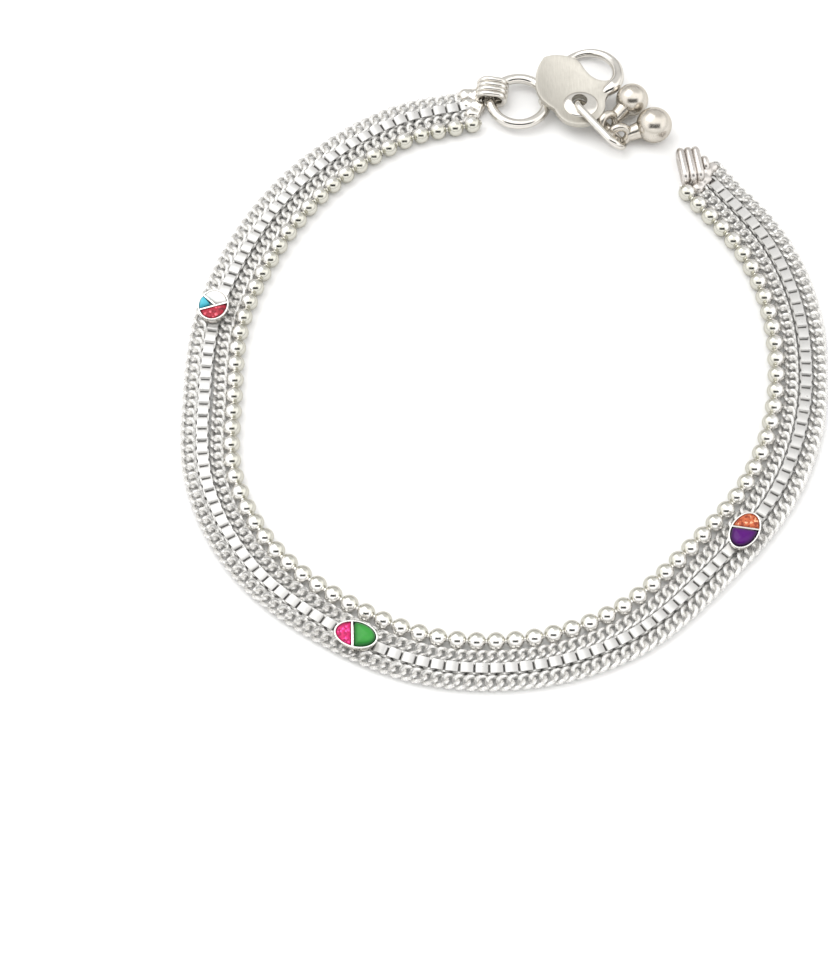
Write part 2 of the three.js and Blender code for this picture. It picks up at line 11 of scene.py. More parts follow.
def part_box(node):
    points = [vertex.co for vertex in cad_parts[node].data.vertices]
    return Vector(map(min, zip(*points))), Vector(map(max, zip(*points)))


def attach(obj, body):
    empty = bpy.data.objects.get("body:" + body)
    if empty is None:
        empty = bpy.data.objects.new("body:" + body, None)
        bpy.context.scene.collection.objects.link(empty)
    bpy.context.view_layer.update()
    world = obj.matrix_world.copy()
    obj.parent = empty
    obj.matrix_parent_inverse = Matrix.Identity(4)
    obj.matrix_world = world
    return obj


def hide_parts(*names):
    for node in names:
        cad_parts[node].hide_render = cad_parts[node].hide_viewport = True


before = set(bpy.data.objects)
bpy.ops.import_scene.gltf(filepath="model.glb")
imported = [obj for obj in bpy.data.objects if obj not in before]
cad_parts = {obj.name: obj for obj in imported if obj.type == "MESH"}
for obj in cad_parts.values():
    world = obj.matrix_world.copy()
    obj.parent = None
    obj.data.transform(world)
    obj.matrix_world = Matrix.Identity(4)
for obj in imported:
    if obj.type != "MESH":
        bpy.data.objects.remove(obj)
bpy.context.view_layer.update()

# The string of balls.
# The inner edge of the band is a string of small hollow silver balls, each soldered to the next over a short
# collar. They lie on the table in one row, and that row is the line that the whole anklet follows.
BALL_ROW = [
    (-4.5, 42.0), (-15.0, 39.0), (-26.5, 30.5), (-34.5, 19.5), (-40.0, 5.5), (-41.0, -8.0),
    (-40.5, -22.0), (-34.5, -34.0), (-24.5, -42.5), (-11.5, -48.5), (2.5, -49.0), (15.5, -44.5),
    (26.5, -34.5), (36.0, -22.5), (40.5, -10.0), (41.0, 4.5), (37.5, 17.0), (29.0, 29.0),
]
ROW_TO_ANKLET = Vector((0.046, 0.031, 0.0))
ROW_STEPS = 1200
BALL_DIAMETER = 2.7
BALL_COUNT = 85
BALL_SIDES = 24
BALL_RINGS = 12
BALL_SHIFT = 0.15
# Painted shade on each ball's inner side: a grey tone in place of a dim reflection, and where across the ball it
# sets in.
BALL_WORN = (0.60, 0.59, 0.53)
WORN_FROM = -0.3
WORN_TO = 0.2
COLLAR_FROM = 0.95
COLLAR_REACH = 0.22
LOOK_ALONG = 0.2
PATCH_SIZE = 1.9
GRAIN_SIZE = 0.35
DENT_SIZE = 0.8
DENT_DEPTH = 0.01
DENT_STRENGTH = 0.6
SILVER_EDGE = (0.74, 0.72, 0.68, 1.0)
METRES = 0.001
UP = Vector((0, 0, 1))
random.seed(7)


class Signal:
    """A value that runs through a finish and can be added, subtracted and multiplied."""

    def __init__(self, finish, socket):
        self.finish = finish
        self.socket = socket

    def _math(self, operation, first, second):
        return self.finish.node("ShaderNodeMath", {"operation": operation}, {0: first, 1: second})

    def __add__(self, other):
        return self._math("ADD", self, other)

    def __radd__(self, other):
        return self._math("ADD", other, self)

    def __sub__(self, other):
        return self._math("SUBTRACT", self, other)

    def __rsub__(self, other):
        return self._math("SUBTRACT", other, self)

    def __mul__(self, other):
        return self._math("MULTIPLY", self, other)

    def __rmul__(self, other):
        return self._math("MULTIPLY", other, self)


class Finish:
    """The nodes of one finish."""

    def __init__(self, tree):
        self.tree = tree

    def node(self, kind, settings=None, values=None, output=0):
        """Adds a node with its settings and the values or links of its sockets, and gives one of its outputs."""
        made = self.tree.nodes.new(kind)
        for name, value in (settings or {}).items():
            if name == "stops":
                for stop, (place, colour) in zip(made.color_ramp.elements, value):
                    stop.position, stop.color = place, (*colour, 1.0)
            else:
                setattr(made, name, value)
        for name, value in (values or {}).items():
            self.join(value, made.inputs[name])
        return Signal(self, made.outputs[output])

    def join(self, value, socket):
        if isinstance(value, Signal):
            self.tree.links.new(value.socket, socket)
        else:
            socket.default_value = value

    def noise(self, size, detail=2.0):
        """Cloudy unevenness whose spots are about size millimetres across."""
        place = self.node("ShaderNodeTexCoord", output=3)
        values = {"Vector": place, "Scale": 1.0 / (size * METRES), "Detail": detail}
        return self.node("ShaderNodeTexNoise", {}, values)

    def between(self, factor, first, second):
        """A colour between two colours."""
        values = {"Factor": factor, 6: (*first, 1.0), 7: (*second, 1.0)}
        return self.node("ShaderNodeMix", {"data_type": "RGBA"}, values, 2)

    def bump(self, height, depth, strength):
        """A fine relief, depth in millimetres."""
        values = {"Height": height, "Distance": depth * METRES, "Strength": strength}
        return self.node("ShaderNodeBump", {}, values)


def new_finish(name):
    material = bpy.data.materials.new(name)
    material.use_nodes = True
    finish = Finish(material.node_tree)
    return material, finish, material.node_tree.nodes["Principled BSDF"].inputs


def silver(name, bright=(0.93, 0.92, 0.90), dull=(0.80, 0.785, 0.755), smooth=0.10, rough=0.26,
           gleam=1.0, worn_side=None):
    """Polished silver: uneven in tone, with patches of finer and coarser polish and slight dents.

    Where it was pickled white its gleam is below one. A painted shade can darken the side of a ball that faces
    the hollow of the anklet: a grey tone in place of a dim reflection.
    """
    material, finish, shader = new_finish(name)
    patches = finish.noise(PATCH_SIZE, 3.0)
    grain = finish.noise(GRAIN_SIZE, 4.0)
    dents = finish.noise(DENT_SIZE, 1.5)
    tone = finish.between(patches, bright, dull)
    # Painted shade: the tone is mixed towards a given grey on the side that the inner_side attribute marks.
    if worn_side:
        inner = finish.node("ShaderNodeAttribute", {"attribute_name": "inner_side"}, output=2)
        reach = {"Value": inner, "From Min": WORN_FROM, "From Max": WORN_TO}
        share = finish.node("ShaderNodeMapRange", {"interpolation_type": "SMOOTHSTEP"}, reach)
        values = {"Factor": share, 6: tone, 7: (*worn_side, 1.0)}
        tone = finish.node("ShaderNodeMix", {"data_type": "RGBA"}, values, 2)
    finish.join(tone, shader["Base Color"])
    finish.join(grain * (rough - smooth) + smooth, shader["Roughness"])
    finish.join(finish.bump(dents, DENT_DEPTH, DENT_STRENGTH), shader["Normal"])
    shader["Metallic"].default_value = gleam
    shader["Specular Tint"].default_value = SILVER_EDGE
    return material


def smooth_line(points, steps):
    """The smooth line through a row of points, as an array of its own points."""
    row = [Vector(point) for point in points]
    spans = len(row) - 1
    row = [2 * row[0] - row[1]] + row + [2 * row[-1] - row[-2]]
    line = []
    for i in range(steps + 1):
        span = min(int(i * spans / steps), spans - 1)
        t = i * spans / steps - span
        a, b, c, d = row[span:span + 4]
        before, here, after = (math.sqrt((q - p).length) for p, q in ((a, b), (b, c), (c, d)))
        leave = ((b - a) / before - (c - a) / (before + here) + (c - b) / here) * here
        arrive = ((c - b) / here - (d - b) / (here + after) + (d - c) / after) * here
        bend = 3 * (c - b) - 2 * leave - arrive
        line.append(b + leave * t + bend * t ** 2 + (2 * (b - c) + leave + arrive) * t ** 3)
    return np.array([tuple(point) for point in line])


def lengths(line):
    """How far along a line each of its points is."""
    return np.concatenate([[0.0], np.cumsum(np.linalg.norm(np.diff(line, axis=0), axis=1))])


ball_line = smooth_line([Vector((*point, 0)) + ROW_TO_ANKLET for point in BALL_ROW], ROW_STEPS)
ball_reach = lengths(ball_line)
row_length = ball_reach[-1]


def beside_row(distance, offset, height=0.0):
    """The place at a distance along the row and an offset outward from it, also past the row's ends."""
    kept = min(max(distance, 0.0), row_length)
    spots = (max(kept - LOOK_ALONG, 0.0), kept, min(kept + LOOK_ALONG, row_length))
    behind, here, ahead = [
        np.array([np.interp(spot, ball_reach, ball_line[:, axis]) for axis in (0, 1)]) for spot in spots]
    along = (ahead - behind) / np.linalg.norm(ahead - behind)
    x, y = here + along * (distance - kept) + np.array([along[1], -along[0]]) * offset
    return Vector((x, y, height))


def spread_along(line, count):
    """Even places along a line that lies flat, each turned to run along it."""
    reach = lengths(line)
    stops = np.linspace(0, reach[-1], count)
    turns = np.unwrap(np.arctan2(np.diff(line[:, 1]), np.diff(line[:, 0])))
    middles = (reach[1:] + reach[:-1]) / 2
    places = []
    for stop in stops:
        point = [np.interp(stop, reach, line[:, axis]) for axis in range(3)]
        turn = np.interp(stop, middles, turns)
        places.append(Matrix.Translation(point) @ Matrix.Rotation(turn, 4, "Z"))
    return places


def alone(*pieces):
    """Selects these pieces and nothing else."""
    bpy.ops.object.select_all(action="DESELECT")
    for piece in pieces:
        piece.select_set(True)
    bpy.context.view_layer.objects.active = pieces[0]
    return pieces[0]


def pick(piece, kind, test):
    """In edit mode, selects the corners, edges or faces that pass a test."""
    bpy.ops.mesh.select_mode(type=kind)
    bpy.ops.mesh.select_all(action="DESELECT")
    mesh = bmesh.from_edit_mesh(piece.data)
    for element in {"VERT": mesh.verts, "EDGE": mesh.edges, "FACE": mesh.faces}[kind]:
        if test(element):
            element.select_set(True)
    mesh.select_flush_mode()
    bmesh.update_edit_mesh(piece.data)


def row_of(model, places):
    """One piece of copies of a model, one at each place."""
    copies = []
    for place in places:
        copy = model.copy()
        copy.data = model.data.copy()
        copy.matrix_world = place
        bpy.context.collection.objects.link(copy)
        copies.append(copy)
    bpy.data.objects.remove(model)
    return joined(copies)


def joined(pieces):
    """Several pieces made one, with its place in its mesh."""
    piece = alone(*pieces)
    bpy.context.view_layer.update()
    bpy.ops.object.join()
    bpy.ops.object.transform_apply(location=True, rotation=True, scale=True)
    return piece


def applied(piece, kind, **settings):
    """Adds a modifier with its settings and applies it."""
    alone(piece)
    modifier = piece.modifiers.new(kind.title(), kind)
    for name, value in settings.items():
        setattr(modifier, name, value)
    bpy.ops.object.modifier_apply(modifier=modifier.name)
    return piece


def settled(piece, name, finish, angle=50):
    """Takes a piece made in millimetres into the anklet's frame, in metres, and gives it its finish."""
    piece.name = piece.data.name = name
    piece.matrix_world = Matrix.Scale(METRES, 4) @ piece.matrix_world
    alone(piece)
    bpy.ops.object.transform_apply(location=True, rotation=True, scale=True)
    bpy.ops.object.shade_smooth_by_angle(angle=math.radians(angle))
    piece.data.materials.clear()
    piece.data.materials.append(finish)
    return piece


bpy.ops.object.select_all(action="DESELECT")
bpy.ops.mesh.primitive_uv_sphere_add(
    segments=BALL_SIDES, ring_count=BALL_RINGS, radius=BALL_DIAMETER / 2, rotation=(0, math.pi / 2, 0))
ball = bpy.context.object
bpy.ops.object.transform_apply(location=True, rotation=True, scale=True)
bpy.ops.object.mode_set(mode="EDIT")
for side in (-1, 1):
    pick(ball, "FACE", lambda face: face.calc_center_median().x * side > BALL_DIAMETER / 2 * COLLAR_FROM)
    bpy.ops.mesh.extrude_region_move(TRANSFORM_OT_translate={"value": (side * COLLAR_REACH, 0, 0)})
bpy.ops.object.mode_set(mode="OBJECT")
row_places = spread_along(ball_line, BALL_COUNT)
lift, outward = Matrix.Translation((0, 0, BALL_DIAMETER / 2)), Matrix.Translation((0, -BALL_SHIFT, 0))
ball_places = []
for place in row_places:
    roll = Matrix.Rotation(random.uniform(0, 2 * math.pi), 4, "X")
    ball_places.append(lift @ place @ outward @ roll)

# How far each corner of a ball lies towards the hollow of the anklet, for the painted shade on that side of its
# finish: a grey tone that stands in for a dim reflection.
inward = np.array([place.to_3x3().col[1] for place in row_places])
centres = np.array([place.translation for place in ball_places])
balls = row_of(ball, ball_places)
corners = np.array([corner.co for corner in balls.data.vertices])
nearest = np.argmin(np.linalg.norm(corners[:, None] - centres[None], axis=2), axis=1)
inner_side = np.einsum("ij,ij->i", corners - centres[nearest], inward[nearest]) / (BALL_DIAMETER / 2)
balls.data.attributes.new("inner_side", "FLOAT", "POINT").data.foreach_set("value", inner_side)
ball_string = settled(balls, "ball_string", silver("ball_silver", worn_side=BALL_WORN))
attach(ball_string, "root")
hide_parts("ball_chain")

# The two curb chains.
# Curb chain is made of round wire links, each twisted so that it lies flat through the next one. One runs
# beside the balls, a wider one is the band's outer edge, and a narrow slit opens between them on the left.
INNER_CURB = dict(offset=2.4, width=2.35, wire=0.66, pitch=1.5, height=0.86, reach=-0.9)
OUTER_CURB = dict(offset=6.5, width=2.6, wire=0.72, pitch=1.58, height=0.92, reach=1.0)
CURB_TWIST = math.radians(-96)
WHITE_LINKS = dict(
    bright=(0.82, 0.815, 0.80), dull=(0.72, 0.71, 0.69), smooth=0.18, rough=0.38, gleam=0.7)
CURB_WIRE_SIDES = 6
CURB_LINK_STEPS = 16
CURB_GRIP = 1.9
CURB_ROLL = 0.06
CURB_SWAY = 0.03
STRAND_STEP = 0.2
SPREAD_PLACES = [0.0, 0.06, 0.16, 0.35, 0.55, 0.7, 0.9, 1.0]
SPREAD_AMOUNTS = [-0.75, -0.45, 0.0, 0.0, 0.12, 0.4, 0.45, 0.3]
SLIT_WIDTH = 0.3
SLIT_PLACE = 0.29
SLIT_LENGTH = 30


def strand_line(offset, reach, shares_slit):
    """The line of a strand: it keeps its offset from the balls, but for the band's own unevenness."""
    line = []
    for distance in np.arange(0, row_length + reach, STRAND_STEP):
        share = distance / row_length
        drift = np.interp(share, SPREAD_PLACES, SPREAD_AMOUNTS) * offset / OUTER_CURB["offset"]
        along_slit = (distance - SLIT_PLACE * row_length) / SLIT_LENGTH
        if shares_slit and abs(along_slit) < 0.5:
            drift += SLIT_WIDTH * math.cos(along_slit * math.pi) ** 2
        line.append(beside_row(distance, offset + drift))
    return np.array([tuple(point) for point in line])


def stretched_ring(length, height, wire, steps, sides):
    """An upright loop of wire: a ring whose two halves are moved apart, its length along x."""
    bpy.ops.mesh.primitive_torus_add(
        major_segments=steps, minor_segments=sides, major_radius=(height - wire) / 2, minor_radius=wire / 2)
    ring = bpy.context.object
    bpy.ops.object.mode_set(mode="EDIT")
    for side in (-1, 1):
        pick(ring, "VERT", lambda corner: corner.co.x * side > 0.01 * wire)
        bpy.ops.transform.translate(value=(side * (length - height) / 2, 0, 0))
    bpy.ops.object.mode_set(mode="OBJECT")
    return ring


def curb_chain(offset, width, wire, pitch, height, reach, shares_slit):
    """A strand of curb links. Each is longer than the pitch by the wires that it grips."""
    link = stretched_ring(pitch + CURB_GRIP * wire, width, wire, CURB_LINK_STEPS, CURB_WIRE_SIDES)
    applied(link, "SIMPLE_DEFORM", deform_method="TWIST", deform_axis="X", angle=CURB_TWIST)
    line = strand_line(offset, reach, shares_slit)
    count = round(lengths(line)[-1] / pitch)
    places = []
    for place in spread_along(line, count):
        roll = Matrix.Rotation(random.gauss(0, CURB_ROLL), 4, "X")
        sway = Matrix.Rotation(random.gauss(0, CURB_SWAY), 4, "Z")
        places.append(Matrix.Translation((0, 0, height)) @ place @ roll @ sway)
    return row_of(link, places)


inner_curb = settled(
    curb_chain(**INNER_CURB, shares_slit=False), "inner_curb_links", silver("inner_curb_silver", **WHITE_LINKS))
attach(inner_curb, "root")
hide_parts("inner_curb_chain")

outer_curb = settled(
    curb_chain(**OUTER_CURB, shares_slit=True), "outer_curb_links", silver("outer_curb_silver", **WHITE_LINKS))
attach(outer_curb, "root")
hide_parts("outer_curb_chain")

# The box chain.
# Between the curb chains runs a box chain: short square tubes of flat strip, each turned a quarter from the
# next. From above every second link shows its flat side, with a narrow slit on either side of it.
BOX_OFFSET = 4.425
BOX_REACH = -0.7
BOX_PITCH = 1.08
BOX_LINK_LENGTH = 1.98
BOX_FLAT_WIDTH = 1.55
BOX_UPRIGHT_WIDTH = 1.85
BOX_STRIP = 0.85
BOX_HEIGHT = 1.6
BOX_WALL = 0.28
BOX_CORNER = 0.4
BOX_MIDDLE = 0.825
FACING = 0.9
BOX_WHITE = dict(bright=(0.69, 0.685, 0.675), dull=(0.56, 0.555, 0.54), smooth=0.2, rough=0.45, gleam=0.7)


def box_link(length, across, strip):
    """A square tube of flat strip. Its hole runs along y, its strip is as wide as the hole is long."""
    bpy.ops.mesh.primitive_cube_add(size=1)
    link = bpy.context.object
    bpy.ops.object.mode_set(mode="EDIT")
    bpy.ops.transform.resize(value=(length, strip, across))
    pick(link, "EDGE", lambda edge: abs(edge.verts[0].co.y - edge.verts[1].co.y) > strip / 2)
    bpy.ops.mesh.bevel(offset=BOX_CORNER, segments=3, affect="EDGES")
    pick(link, "FACE", lambda face: abs(face.normal.y) > FACING)
    bpy.ops.mesh.delete(type="FACE")
    bpy.ops.object.mode_set(mode="OBJECT")
    return applied(link, "SOLIDIFY", thickness=BOX_WALL, offset=-1.0)


box_line = strand_line(BOX_OFFSET, BOX_REACH, True)
box_places = spread_along(box_line, round(lengths(box_line)[-1] / BOX_PITCH))
lift, quarter_turn = Matrix.Translation((0, 0, BOX_MIDDLE)), Matrix.Rotation(math.pi / 2, 4, "X")
flat_places = [lift @ place for place in box_places[0::2]]
upright_places = [lift @ place @ quarter_turn for place in box_places[1::2]]
flat_links = row_of(box_link(BOX_LINK_LENGTH, BOX_HEIGHT, BOX_FLAT_WIDTH), flat_places)
upright_links = row_of(box_link(BOX_LINK_LENGTH, BOX_UPRIGHT_WIDTH, BOX_STRIP), upright_places)
box_links = settled(
    joined([flat_links, upright_links]), "box_links", silver("box_silver", **BOX_WHITE), angle=30)
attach(box_links, "root")
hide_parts("box_chain")

# The three enamelled settings.
# Each is an oval silver cup soldered across the strands, a little drawn out or turned. Thin partitions divide
# it into fields, and each is filled with enamel of one colour: smooth and crowned, or set with glitter.
SETTING_LENGTH = 6.0
SETTING_WIDTH = 4.6
SETTING_HEIGHT = 1.75
SETTING_FLOOR = 0.5
SETTING_BASE = 1.85
SETTING_FOOT = 0.86
SETTING_OFFSET = 4.875
HEADING_STEP = 0.5
OVAL_SIDES = 72
RIM_WALL = 0.3
RIM_ROUND = 0.13
PARTITION_WALL = 0.22
PARTITION_DROP = 0.06
SPLIT_START = 0.45
CROWN_STEPS = [(0.93, 0.34), (0.87, 0.27), (0.78, 0.21), (0.6, 0.13), (0.4, 0.05)]
ENAMEL_PLAY = 0.02
ENAMEL_DROP = 0.12
# The heights between which the painted shade on smooth enamel gives way to its full colour.
ENAMEL_LOW = 3.66
ENAMEL_HIGH = 4.22
GLAZE_CLOUDS = 1.1
GLAZE_GRAIN = 0.3
GLAZE_RIPPLE = 0.9
SPARK_FROM = 0.86


def oval(inset, depth):
    """An upright oval slug, in a setting's own place: x along the band, y to the inner edge."""
    bpy.ops.mesh.primitive_cylinder_add(vertices=OVAL_SIDES, radius=1, depth=1, location=(0, 0, 0.5))
    slug = bpy.context.object
    bpy.ops.object.transform_apply(location=True, rotation=True, scale=True)
    size = (SETTING_LENGTH / 2 - inset, SETTING_WIDTH / 2 - inset, depth)
    bpy.ops.object.mode_set(mode="EDIT")
    bpy.ops.mesh.select_all(action="SELECT")
    bpy.ops.transform.resize(value=size, center_override=(0, 0, 0))
    bpy.ops.object.mode_set(mode="OBJECT")
    return slug


def cut_away(piece, origin, normal):
    """Cuts off all of a piece that lies on the side that the normal points to, and closes the cut."""
    alone(piece)
    bpy.ops.object.mode_set(mode="EDIT")
    bpy.ops.mesh.select_all(action="SELECT")
    bpy.ops.mesh.bisect(plane_co=origin, plane_no=normal, use_fill=True, clear_outer=True, threshold=1e-5)
    bpy.ops.object.mode_set(mode="OBJECT")


def flat_way(heading):
    """The level direction of a heading."""
    return Vector((math.cos(heading), math.sin(heading), 0))


def split_start(shift, skew):
    """Where the second partition leaves the first."""
    return Vector((shift, 0, 0)) + flat_way(skew + math.pi / 2) * SPLIT_START


def wall_lines(shift, skew, split):
    """The walls of each field, as (origin, normal away from the field) pairs."""
    origin, towards = Vector((shift, 0, 0)), flat_way(skew)
    if split is None:
        return [[(origin, towards)], [(origin, -towards)]]
    across = flat_way(split + math.pi / 2)
    start = split_start(shift, skew)
    return [[(origin, towards), (start, -across)], [(origin, towards), (start, across)], [(origin, -towards)]]


def enamel_field(walls, crown, top):
    """The enamel of one field: a slug cut to the field's walls, its top raised step by step to a crown."""
    slug = oval(RIM_WALL + ENAMEL_PLAY, top)
    for origin, normal in walls:
        cut_away(slug, origin - normal * (PARTITION_WALL / 2 + ENAMEL_PLAY), normal)
    bpy.ops.object.mode_set(mode="EDIT")
    bpy.ops.mesh.remove_doubles(threshold=ENAMEL_PLAY)
    pick(slug, "FACE", lambda face: face.normal.z > FACING)
    tops = [face for face in bmesh.from_edit_mesh(slug.data).faces if face.select]
    middle = sum((face.calc_center_median() for face in tops), Vector()) / len(tops)
    for share, rise in CROWN_STEPS:
        bpy.ops.mesh.extrude_region_move(TRANSFORM_OT_translate={"value": (0, 0, rise * crown)})
        bpy.ops.transform.resize(value=(share, share, 1), center_override=middle)
    bpy.ops.object.mode_set(mode="OBJECT")
    return applied(slug, "SMOOTH", factor=0.5, iterations=3)


def setting_cup(shift, skew, split):
    """The silver cup: an oval with a foot, hollowed down to its floor, and its partitions."""
    cup = oval(0, SETTING_HEIGHT)
    bpy.ops.object.mode_set(mode="EDIT")
    pick(cup, "FACE", lambda face: face.normal.z > FACING)
    bpy.ops.mesh.inset(thickness=RIM_WALL)
    bpy.ops.mesh.extrude_region_move(TRANSFORM_OT_translate={"value": (0, 0, SETTING_FLOOR - SETTING_HEIGHT)})
    pick(cup, "FACE", lambda face: face.normal.z < -FACING)
    bpy.ops.transform.resize(value=(SETTING_FOOT, SETTING_FOOT, 1), center_override=(0, 0, 0))
    bpy.ops.object.mode_set(mode="OBJECT")
    applied(cup, "BEVEL", width=RIM_ROUND, segments=3, limit_method="ANGLE", angle_limit=math.radians(50))
    walls = []
    for heading, runs_across in [(skew + math.pi / 2, True), (split, False)]:
        if heading is None:
            continue
        wall = oval(RIM_WALL * 0.7, SETTING_HEIGHT - PARTITION_DROP)
        start = Vector((shift, 0, 0)) if runs_across else split_start(shift, skew)
        side = flat_way(heading + math.pi / 2)
        for way in (-1, 1):
            cut_away(wall, start + side * way * PARTITION_WALL / 2, side * way)
        if not runs_across:
            cut_away(wall, Vector((shift, 0, 0)), flat_way(skew))
        walls.append(wall)
    return joined([cup] + walls)


def glossy_enamel(name, colour, shade):
    """Smooth enamel: a clear gloss over a cloudy colour, with painted shade that darkens it low by the walls and
    leaves the crown lighter.
    """
    material, finish, shader = new_finish(name)
    place = finish.node("ShaderNodeTexCoord", output=3)
    height = finish.node("ShaderNodeSeparateXYZ", {}, {0: place}, 2)
    reach = {"Value": height, "From Min": ENAMEL_LOW * METRES, "From Max": ENAMEL_HIGH * METRES}
    crown = finish.node("ShaderNodeMapRange", {"interpolation_type": "SMOOTHSTEP"}, reach)
    # Painted shade by height, darker low by the walls and lighter on the crown, mixed with the enamel's own
    # cloudiness; depth here is this mix, not the enamel's depth.
    depth = crown * 0.75 + finish.noise(GLAZE_CLOUDS, 3.0) * 0.35
    finish.join(finish.between(depth, shade, colour), shader["Base Color"])
    finish.join(finish.noise(GLAZE_GRAIN, 2.0) * 0.08 + 0.08, shader["Roughness"])
    finish.join(finish.bump(finish.noise(GLAZE_RIPPLE, 2.0), 0.02, 0.5), shader["Normal"])
    shader["Specular IOR Level"].default_value = 0.15
    shader["Coat Weight"].default_value = 0.12
    shader["Coat Roughness"].default_value = 0.03
    return material


def glitter_enamel(name, colour, deep, spark, size, relief):
    """Enamel with glitter: small flakes in three tones, some of them bright, under a rough surface."""
    material, finish, shader = new_finish(name)
    place = finish.node("ShaderNodeTexCoord", output=3)
    cells = {"Vector": place, "Scale": 1.0 / (size * METRES)}
    flake = finish.node("ShaderNodeTexVoronoi", {}, cells, 1)
    tone = finish.node("ShaderNodeSeparateColor", {}, {0: flake}, 0)
    edge = finish.node("ShaderNodeTexVoronoi", {}, cells, 0)
    steps = [(0.0, deep), (0.55, colour)]
    base = finish.node("ShaderNodeValToRGB", {"stops": steps}, {0: tone})
    bright = finish.node("ShaderNodeMath", {"operation": "GREATER_THAN"}, {0: tone, 1: SPARK_FROM})
    values = {"Factor": bright, 6: base, 7: (*spark, 1.0)}
    finish.join(finish.node("ShaderNodeMix", {"data_type": "RGBA"}, values, 2), shader["Base Color"])
    finish.join(bright * 0.7, shader["Metallic"])
    finish.join(0.5 - tone * 0.3, shader["Roughness"])
    finish.join(finish.bump(1.0 - edge, relief, 1.0), shader["Normal"])
    shader["Specular IOR Level"].default_value = 0.3
    shader["Coat Weight"].default_value = 0.15
    shader["Coat Roughness"].default_value = 0.15
    return material


# Of each setting: its place along the row as a share of the row, its turn and stretch, the shift and skew of
# its long partition, the heading of the short one, and of each field its colour, crown and enamel.
# A smooth enamel's second colour is its painted shade by the walls.
SETTINGS = {
    "left": dict(
        place=0.227, turn=0, stretch=(0.93, 1.04), shift=0.3, skew=math.radians(33), split=math.radians(236),
        fields=[
            ("turquoise", 0.60, glossy_enamel("turquoise_glaze", (0.11, 0.54, 0.66), (0.04, 0.36, 0.48))),
            ("white", 0.35, glossy_enamel("white_glaze", (0.90, 0.90, 0.88), (0.84, 0.84, 0.82))),
            ("red", 0.12, glitter_enamel(
                "red_glaze", (0.38, 0.010, 0.03), (0.07, 0.002, 0.008), (0.75, 0.12, 0.16), 0.42, 0.12)),
        ]),
    "front": dict(
        place=0.48, turn=math.radians(12), stretch=(1.1, 0.96), shift=-0.5, skew=math.radians(15), split=None,
        fields=[
            ("pink", 0.15, glitter_enamel(
                "pink_glaze", (0.66, 0.006, 0.14), (0.32, 0.002, 0.06), (0.90, 0.07, 0.32), 0.38, 0.10)),
            ("green", 0.75, glossy_enamel("green_glaze", (0.05, 0.34, 0.055), (0.003, 0.055, 0.014))),
        ]),
    "right": dict(
        place=0.73, turn=math.radians(10), stretch=(1.1, 0.95), shift=0.35, skew=math.radians(18), split=None,
        fields=[
            ("purple", 0.75, glossy_enamel("purple_glaze", (0.10, 0.006, 0.18), (0.014, 0.001, 0.022))),
            ("orange", 0.15, glitter_enamel(
                "orange_glaze", (0.60, 0.14, 0.05), (0.30, 0.04, 0.012), (0.92, 0.46, 0.27), 0.36, 0.16)),
        ]),
}
for side, plan in SETTINGS.items():
    distance = plan["place"] * row_length
    here = beside_row(distance, SETTING_OFFSET, SETTING_BASE)
    ahead = beside_row(distance + HEADING_STEP, SETTING_OFFSET)
    heading = math.atan2(ahead.y - here.y, ahead.x - here.x) + plan["turn"]
    stretch = Matrix.Diagonal((*plan["stretch"], 1, 1))
    seat = Matrix.Translation(here) @ Matrix.Rotation(heading, 4, "Z") @ stretch
    partitions = (plan["shift"], plan["skew"], plan["split"])
    cup = setting_cup(*partitions)
    cup.matrix_world = seat
    settled(cup, f"{side}_cup", silver(f"{side}_cup_silver", rough=0.3), angle=40)
    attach(cup, "root")
    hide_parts(f"{side}_setting")
    for (colour, crown, glaze), walls in zip(plan["fields"], wall_lines(*partitions)):
        field = enamel_field(walls, crown, SETTING_HEIGHT - ENAMEL_DROP)
        field.matrix_world = seat
        settled(field, f"{side}_{colour}_glaze", glaze, angle=60)
        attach(field, "root")
        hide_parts(f"{side}_{colour}_enamel")

# The left end of the band.
# The strands end in a thick silver plate, run over with lumps of solder. Four turns of round wire are soldered
# to it and hold the large ring.
PLATE_HEIGHT = 1.5
PLATE_ROUND = 0.5
SOLDER_GRAIN = 0.13
SOLDER_FLOW = 34
COIL_WIRE = 0.95
COIL_TURNS = 4
COIL_PITCH = 0.93
COIL_LENGTH = 5.2
COIL_HEIGHT = 3.9
COIL_PLACE = (-1.307, 48.129)
COIL_HEADING = math.radians(-8)
TURN_STEPS = 48
TURN_SIDES = 14
WORN_WIRE = dict(bright=(0.80, 0.78, 0.74), dull=(0.62, 0.59, 0.545), smooth=0.08)
WIRE_ROUGH = 0.18


def wire_turns(count, length, height, wire, pitch, place, heading, lean=0.0):
    """Upright turns of round wire side by side, standing on the table."""
    turn = stretched_ring(length, height, wire, TURN_STEPS, TURN_SIDES)
    places = []
    for i in range(count):
        y = (i - (count - 1) / 2) * pitch
        stand = Matrix.Translation((*place, height / 2)) @ Matrix.Rotation(heading, 4, "Z")
        tip = Matrix.Rotation(random.gauss(0, lean), 4, "X") @ Matrix.Rotation(math.pi / 2, 4, "X")
        places.append(stand @ Matrix.Translation((random.gauss(0, lean), y, 0)) @ tip)
    return row_of(turn, places)


def past_end(end, reach, offset, height=0.0):
    """The place at a distance past the row's left or right end."""
    return beside_row(row_length + reach if end == "right" else -reach, offset, height)


